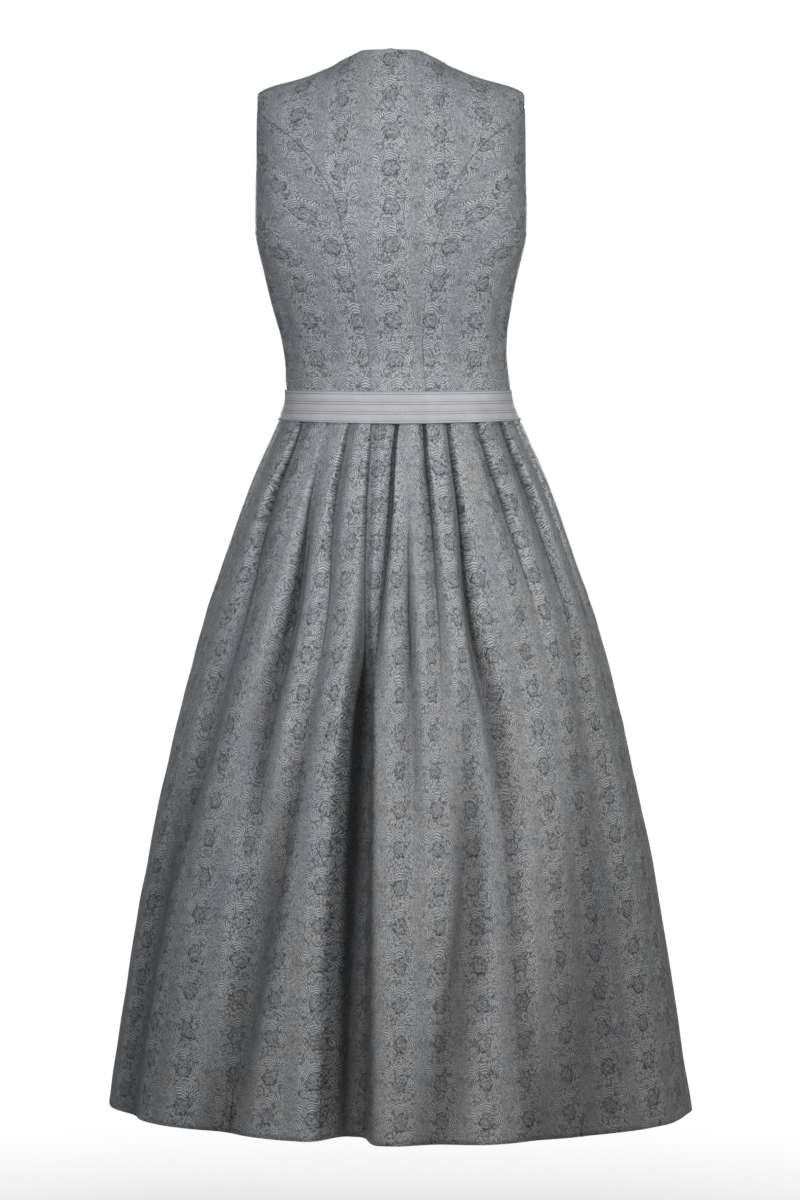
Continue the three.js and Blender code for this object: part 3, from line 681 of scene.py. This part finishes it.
def ribbonCloth():
    look = ribbonClothLook
    material, shade = startMaterial("stripedRibbon")
    uv, along, across = clothPlace(shade)
    pin = ((across * (2 * math.pi / look["stripe"])).sin() * 2.4 - 1).clipped()
    group = ((across * (2 * math.pi / look["group"]) + 0.8).sin() * 2 + 1).clipped()
    ribs = (along * (2 * math.pi / look["ribSpacing"])).sin() * 0.5
    grain = noise(shade, uv, 1.6, 2.0, 0.6).output("Fac") - 0.5
    mottle = noise(shade, uv, 30, 2.0, 0.6).output("Fac") - 0.5
    tone = (0.68 - 0.62 * pin * group + 0.5 * grain + 0.3 * mottle).clipped()
    colour = mixTones(shade, tone, look["dark"], look["light"])
    height = ribs * 0.3 + pin * group * -0.5 + grain * 0.4
    return finishMaterial(material, shade, colour, (0.4 + 0.2 * pin * group).clipped(), height, 0.25,
                          {"Sheen Weight": 0.15, "Sheen Roughness": 0.35, "Specular IOR Level": 0.5})


jacquard = jacquardCloth()
apronSatin = apronCloth()
stripedRibbon = ribbonCloth()
print("finishes ready")


# bodice

bodiceLook = {
    "wall": 1.8, "roll": (0.5, 1.9), "seam": 0.08,
    "backGrid": (150, 190), "sideGrid": (100, 120), "frontGrid": (80, 170),
    "wrinkle": 0.5,
}


def edgeTurn(angle, rise):
    z = mix(body["waistSeam"], body["armpit"], np.minimum(rise, 1))
    return np.degrees(bodiceLook["seam"] / 2 / reach(torso, angle, z))


def columnsOf(rows):
    return smooth([row[0] for row in rows], [row[1] for row in rows])


backSeamAt, frontSeamAt, necklineAt = columnsOf(backSeam), columnsOf(frontSeam), columnsOf(neckline)
backArmholeAt, frontArmholeAt = columnsOf(backArmhole), columnsOf(frontArmhole)


def centreBack(s, t):
    rise = 2 * t
    angle = np.where(rise < backSeam[-1][0], backSeamAt(rise), backArmholeAt(rise))
    angle = angle - edgeTurn(angle, rise)
    return bodicePoint(mix(-angle, angle, s), rise)


def centreFront(side):
    def point(s, t):
        rise = 2 * t
        inner = np.where(rise < neckline[0][0], 180, necklineAt(rise))
        inner = inner - edgeTurn(inner, rise)
        outer = np.where(rise < frontSeam[-1][0], frontSeamAt(rise), frontArmholeAt(rise))
        outer = outer + edgeTurn(outer, rise)
        return bodicePoint(side * mix(inner, outer, s), rise)
    return point


def sidePanel(side, seamAt, seamEnd, armhole, sign):
    rows = [row for row in armhole if row[0] <= seamEnd]
    spread = np.linspace(0, 1, len(rows))
    edgeRise = smooth(spread, [row[0] for row in rows])
    edgeAngle = smooth(spread, [row[1] for row in rows])

    def point(s, up):
        seamRise = up * seamEnd
        atSeam = seamAt(seamRise) - sign * edgeTurn(seamAt(seamRise), seamRise)
        atSide = 90 + sign * edgeTurn(90, up)
        topShare = (edgeAngle(s) - 90) / (seamAt(seamEnd) - 90)
        share = mix(s, topShare, up * up)
        return bodicePoint(side * mix(atSide, atSeam, share), up * edgeRise(s))
    return point


def bodiceWrinkles(seed):
    def creases(acrossLength, alongLength, s, t):
        low = np.exp(-(alongLength / 60) ** 2)
        soft = np.sin(alongLength / 8.5 + 2.2 * np.sin(acrossLength / 31 + seed)) * low
        puckers = np.sin(alongLength / 4.6 + seed) * np.exp(-(np.minimum(
            acrossLength, acrossLength[:, -1:] - acrossLength) / 7) ** 2)
        broad = np.sin(alongLength / 33 + seed) * np.sin(acrossLength / 27 + 2 * seed)
        return bodiceLook["wrinkle"] * (0.55 * soft + 0.3 * puckers + 0.7 * broad)
    return creases


def makeBodice():
    look = bodiceLook
    shared = {"wall": look["wall"], "finish": jacquard, "roll": look["roll"]}
    pieces = {}
    pieces["back"] = makeSheet("bodiceBack", centreBack, *look["backGrid"], replaces="bodice_back",
                               creases=bodiceWrinkles(0.3), **shared)
    for hand, side in (("left", 1), ("right", -1)):
        title = hand.capitalize()
        pieces["sideBack" + title] = makeSheet(
            "bodiceSideBack" + title, sidePanel(side, backSeamAt, backSeam[-1][0], backArmhole, -1),
            *look["sideGrid"], replaces="bodice_side_back_" + hand,
            creases=bodiceWrinkles(1.1 + side), **shared)
        pieces["sideFront" + title] = makeSheet(
            "bodiceSideFront" + title, sidePanel(side, frontSeamAt, frontSeam[-1][0], frontArmhole, 1),
            *look["sideGrid"], replaces="bodice_side_front_" + hand,
            creases=bodiceWrinkles(2.3 + side), **shared)
        pieces["front" + title] = makeSheet(
            "bodiceFront" + title, centreFront(side),
            *look["frontGrid"], replaces="bodice_front_" + hand,
            creases=bodiceWrinkles(3.2 + side), **shared)
    return pieces


bodice = makeBodice()
print("bodice ready")


# skirt

def skirtCloth(angleOf, sideFrom, sideTo):
    # every pleat shows the cloth at its true size near the waist,
    # and the pleats run into one cloth further down
    look = skirtLook
    folds = skirtFolds[len(backFolds):]
    if sideFrom < 0:
        folds = [fold for fold in skirtFolds[:len(backFolds)] if fold[1](0.0) > 0.5]

    def uvAt(s, t, acrossLength, alongLength):
        angle = angleOf(s, t)
        edges = np.sort(np.stack([fold[0](t) for fold in folds] + [0 * t + sideFrom, 0 * t + sideTo]), axis=0)
        index = (edges <= angle[None]).sum(axis=0)
        index = np.clip(index, 1, len(edges) - 1)
        left = np.take_along_axis(edges, (index - 1)[None], axis=0)[0]
        right = np.take_along_axis(edges, index[None], axis=0)[0]
        middle = (left + right) / 2
        radius = reach(skirt, angle, mix(body["waistSeam"], body["hem"], t))
        split = 1 - ease(t, *look["clothJoins"])
        scale = mix(look["clothRadius"], np.maximum(radius * 1.15, 120), split)
        u = np.radians(middle) * look["clothRadius"] + np.radians(angle - middle) * scale
        return np.stack([u, -alongLength], -1)
    return uvAt


def makeSkirt():
    look = skirtLook
    pieces = {}
    turn = math.degrees(body["seamGap"] / 2 / 128)
    halves = (("skirtBack", "skirt_back", -90, 90), ("skirtFront", "skirt_front", 90, 270))
    for name, node, low, high in halves:
        low, high = low + turn, high - turn
        angleOf = alongFolds(low, high)
        pieces[name] = makeSheet(
            name, lambda s, t, at=angleOf: skirtPoint(at(s, t), t), look["columns"], look["rows"],
            look["wall"], jacquard, node, uvAt=skirtCloth(angleOf, low, high), middle=waistMiddle,
            # painted shade for the skirt's folds and pleat edges
            paintedShade=lambda s, t, at=angleOf: foldShadow(at(s, t), t))
    return pieces


skirtPieces = makeSkirt()
print("skirt ready")


# apron, ribbon and bow

def makeApron():
    look = apronLook

    def point(s, t):
        return apronPoint(mix(look["from"], 360 - look["from"], s), t)
    return makeSheet("apronPanel", point, look["columns"], look["rows"], look["wall"], apronSatin, "apron",
                     slot="apron_cloth")


def makeRibbon():
    look = ribbonLook

    def point(s, t):
        angle = bowLook["angle"] - 360 + 360 * s
        angle = np.where(angle < 0, angle + 360, angle)
        wave = look["wave"] * (np.sin(angle / 7) + np.sin(angle / 17 + 3 * t)) * t
        return ribbonPoint(angle, t, wave * 0.5 + 0.25)
    return makeSheet("apronRibbon", point, look["columns"], look["rows"], look["wall"], stripedRibbon,
                     "apron_ribbon", closed=True, slot="ribbon", middle=waistMiddle)


def bowLoop(side, length, droop):
    opening = math.radians(14)
    middle = bowLook["knotAcross"] + body["seamGap"] + length / 2 * math.cos(opening)

    def point(t, s):
        turn = mix(math.pi - opening, opening - math.pi, s)
        alongWaist = middle + length / 2 * np.cos(turn)
        share = (alongWaist - bowLook["knotAcross"]) / length
        halfUp = mix(*bowLook["loopHalf"], ease(share, 0, 0.55))
        up = mix(halfUp, -halfUp, t) - droop * share * share
        gather = 1.1 * np.sin(5 * math.pi * t) * (1 - ease(share, 0.1, 0.7))
        out = bowLook["knotStand"] + 1 + bowLook["loopOpening"] * np.sin(turn) + gather
        return bowPoint(side * alongWaist, up, out)
    return point


def bowTail(side, length, spreadOut):
    def point(t, s):
        z = bowLook["z"] - bowLook["knotUp"] - body["seamGap"] - s * (length + 16 * (t - 0.5))
        opened = ease(s, 0, 0.22)
        alongWaist = side * (5 + spreadOut * s) + mix(-1, 1, t) * bowLook["tailHalf"] * mix(0.5, 1, opened)
        angle = bowLook["angle"] + np.degrees(alongWaist / reach(skirt, bowLook["angle"], z))
        fall = (apronLook["top"] - z) / (apronLook["top"] - apronLook["hem"])
        over = 0 if side > 0 else bowLook["tailOver"] * (1 - ease(s, 0.3, 0.5))
        stand = mix(7, 3.6, opened) + 1.2 * (1 + np.sin(9 * s + side)) + over
        return apronPoint(angle, fall, stand)
    return point


def makeKnot():
    look = bowLook
    bm = bmesh.new()
    cloths = bm.loops.layers.uv.new("cloth")
    bmesh.ops.create_uvsphere(bm, u_segments=48, v_segments=32, radius=1)
    ends = np.array([vert.co[:] for vert in bm.verts])
    rounded = np.sign(ends) * np.abs(ends) ** 0.75
    pinch = 1 - 0.1 * np.cos(rounded[:, 2] * 2.5) ** 8
    groove = 0.5 * np.sin(rounded[:, 0] * 9 + rounded[:, 2])
    places = bowPoint(rounded[:, 0] * look["knotAcross"] * pinch, rounded[:, 2] * look["knotUp"],
                      -rounded[:, 1] * (look["knotOut"] - 0.5 + 0.4 * groove) + look["knotStand"])
    for face in bm.faces:
        for loop in face.loops:
            co = rounded[loop.vert.index]
            loop[cloths].uv = (co[2] * 0.013, co[0] * 0.017 + 0.017)
        face.smooth = True
    for vert, at in zip(bm.verts, places):
        vert.co = at * mm
    bmesh.ops.recalc_face_normals(bm, faces=bm.faces)
    mesh = bpy.data.meshes.new("bowKnot")
    bm.to_mesh(mesh)
    bm.free()
    knot = bpy.data.objects.new("bowKnot", mesh)
    bpy.context.scene.collection.objects.link(knot)
    mesh.materials.append(stripedRibbon)
    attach(knot, "root")
    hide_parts("bow_knot")
    return knot


def ribbonCoordinates(s, t, acrossLength, alongLength):
    return np.stack([alongLength, acrossLength], -1)


def makeBow():
    pieces = {"knot": makeKnot()}
    for hand, (side, length, droop) in bowLook["loops"].items():
        start = bowPoint(np.array([side * 45.0]), 0.0, bowLook["knotStand"] + 1)[0]
        pieces["loop" + hand] = makeSheet(
            "bowLoop" + hand.capitalize(), bowLoop(side, length, droop), *bowLook["loopGrid"],
            bowLook["wall"], stripedRibbon, "bow_loop_" + hand, slot="ribbon", middle=start,
            uvAt=ribbonCoordinates)
    for hand, (side, length, spreadOut) in bowLook["tails"].items():
        pieces["tail" + hand] = makeSheet(
            "bowTail" + hand.capitalize(), bowTail(side, length, spreadOut), *bowLook["tailGrid"],
            bowLook["wall"], stripedRibbon, "bow_tail_" + hand, slot="ribbon", uvAt=ribbonCoordinates)
    return pieces


apron = makeApron()
ribbon = makeRibbon()
bow = makeBow()
print("apron, ribbon and bow ready")


# studio

studio = {
    "aim": (-0.0103, 0, -0.5925), "distance": 5.2, "pitch": 3.4, "lens": 136,
    "floor": -1.42, "floorRadius": 1.4, "floorSolid": 0.25, "lightAim": (0, 0, -0.42), "spread": 80,
    # name, place in metres, size and power
    "lights": (
        ("keyLeft", (1.5, 1.8, 0.05), 0.7, 5.0),
        ("keyRight", (-1.55, 1.75, 0.05), 0.7, 6.9),
        ("top", (0, 0.7, 2.4), 1.2, 4.5),
        ("frontLeft", (0.5, -2.35, 0.1), 0.7, 4.6),
        ("frontRight", (-0.5, -2.35, 0.1), 0.7, 5),
    ),
}


def makeStudio():
    look = studio
    scene = bpy.context.scene
    scene.view_settings.view_transform = "Standard"
    pitch = math.radians(look["pitch"])
    aim = Vector(look["aim"])
    towards = Vector((0, -math.cos(pitch), -math.sin(pitch)))
    camera = bpy.data.objects.new("camera", bpy.data.cameras.new("camera"))
    camera.data.lens = look["lens"]
    camera.data.clip_end = 50
    camera.location = aim - towards * look["distance"]
    camera.rotation_euler = towards.to_track_quat("-Z", "Y").to_euler()
    scene.collection.objects.link(camera)
    scene.camera = camera
    for name, at, size, power in look["lights"]:
        lamp = bpy.data.objects.new(name, bpy.data.lights.new(name, "AREA"))
        lamp.data.shape = "DISK"
        lamp.data.size = size
        lamp.data.energy = power
        lamp.data.spread = math.radians(look["spread"])
        lamp.location = at
        lamp.rotation_euler = (Vector(look["lightAim"]) - Vector(at)).to_track_quat("-Z", "Y").to_euler()
        scene.collection.objects.link(lamp)

    world = bpy.data.worlds.new("studio")
    world.use_nodes = True
    scene.world = world
    world.node_tree.nodes.clear()
    shade = Shade(world.node_tree)
    sight = shade.node("ShaderNodeLightPath").output("Is Camera Ray")
    seen = shade.node("ShaderNodeBackground", inputs={"Color": (1, 1, 1, 1), "Strength": 1.0})
    lit = shade.node("ShaderNodeBackground", inputs={"Color": (0.93, 0.96, 1, 1), "Strength": 0.06})
    both = shade.node("ShaderNodeMixShader", inputs={0: sight, 1: lit, 2: seen})
    end = world.node_tree.nodes.new("ShaderNodeOutputWorld")
    world.node_tree.links.new(both.socket, end.inputs["Surface"])

    bm = bmesh.new()
    bmesh.ops.create_circle(bm, cap_ends=True, segments=96, radius=look["floorRadius"])
    bmesh.ops.translate(bm, verts=bm.verts, vec=(0, 0, look["floor"]))
    mesh = bpy.data.meshes.new("floor")
    bm.to_mesh(mesh)
    bm.free()
    floor = bpy.data.objects.new("floor", mesh)
    scene.collection.objects.link(floor)
    material, shade = startMaterial("paleFloor")
    spot = shade.node("ShaderNodeTexCoord").output("Object")
    away = shade.node("ShaderNodeVectorMath", {"operation": "LENGTH"},
                      {0: shade.node("ShaderNodeVectorMath", {"operation": "MULTIPLY"},
                                     {0: spot, 1: (1, 1, 0)})}, "Value")
    solid = (1 - (away - look["floorSolid"]) / (look["floorRadius"] - look["floorSolid"])).clipped()
    pale = shade.node("ShaderNodeBsdfDiffuse", inputs={"Color": (0.93, 0.93, 0.93, 1)})
    clear = shade.node("ShaderNodeBsdfTransparent")
    mixed = shade.node("ShaderNodeMixShader", inputs={0: solid * solid, 1: clear, 2: pale})
    end = material.node_tree.nodes.new("ShaderNodeOutputMaterial")
    material.node_tree.links.new(mixed.socket, end.inputs["Surface"])
    mesh.materials.append(material)


makeStudio()
print("studio ready")
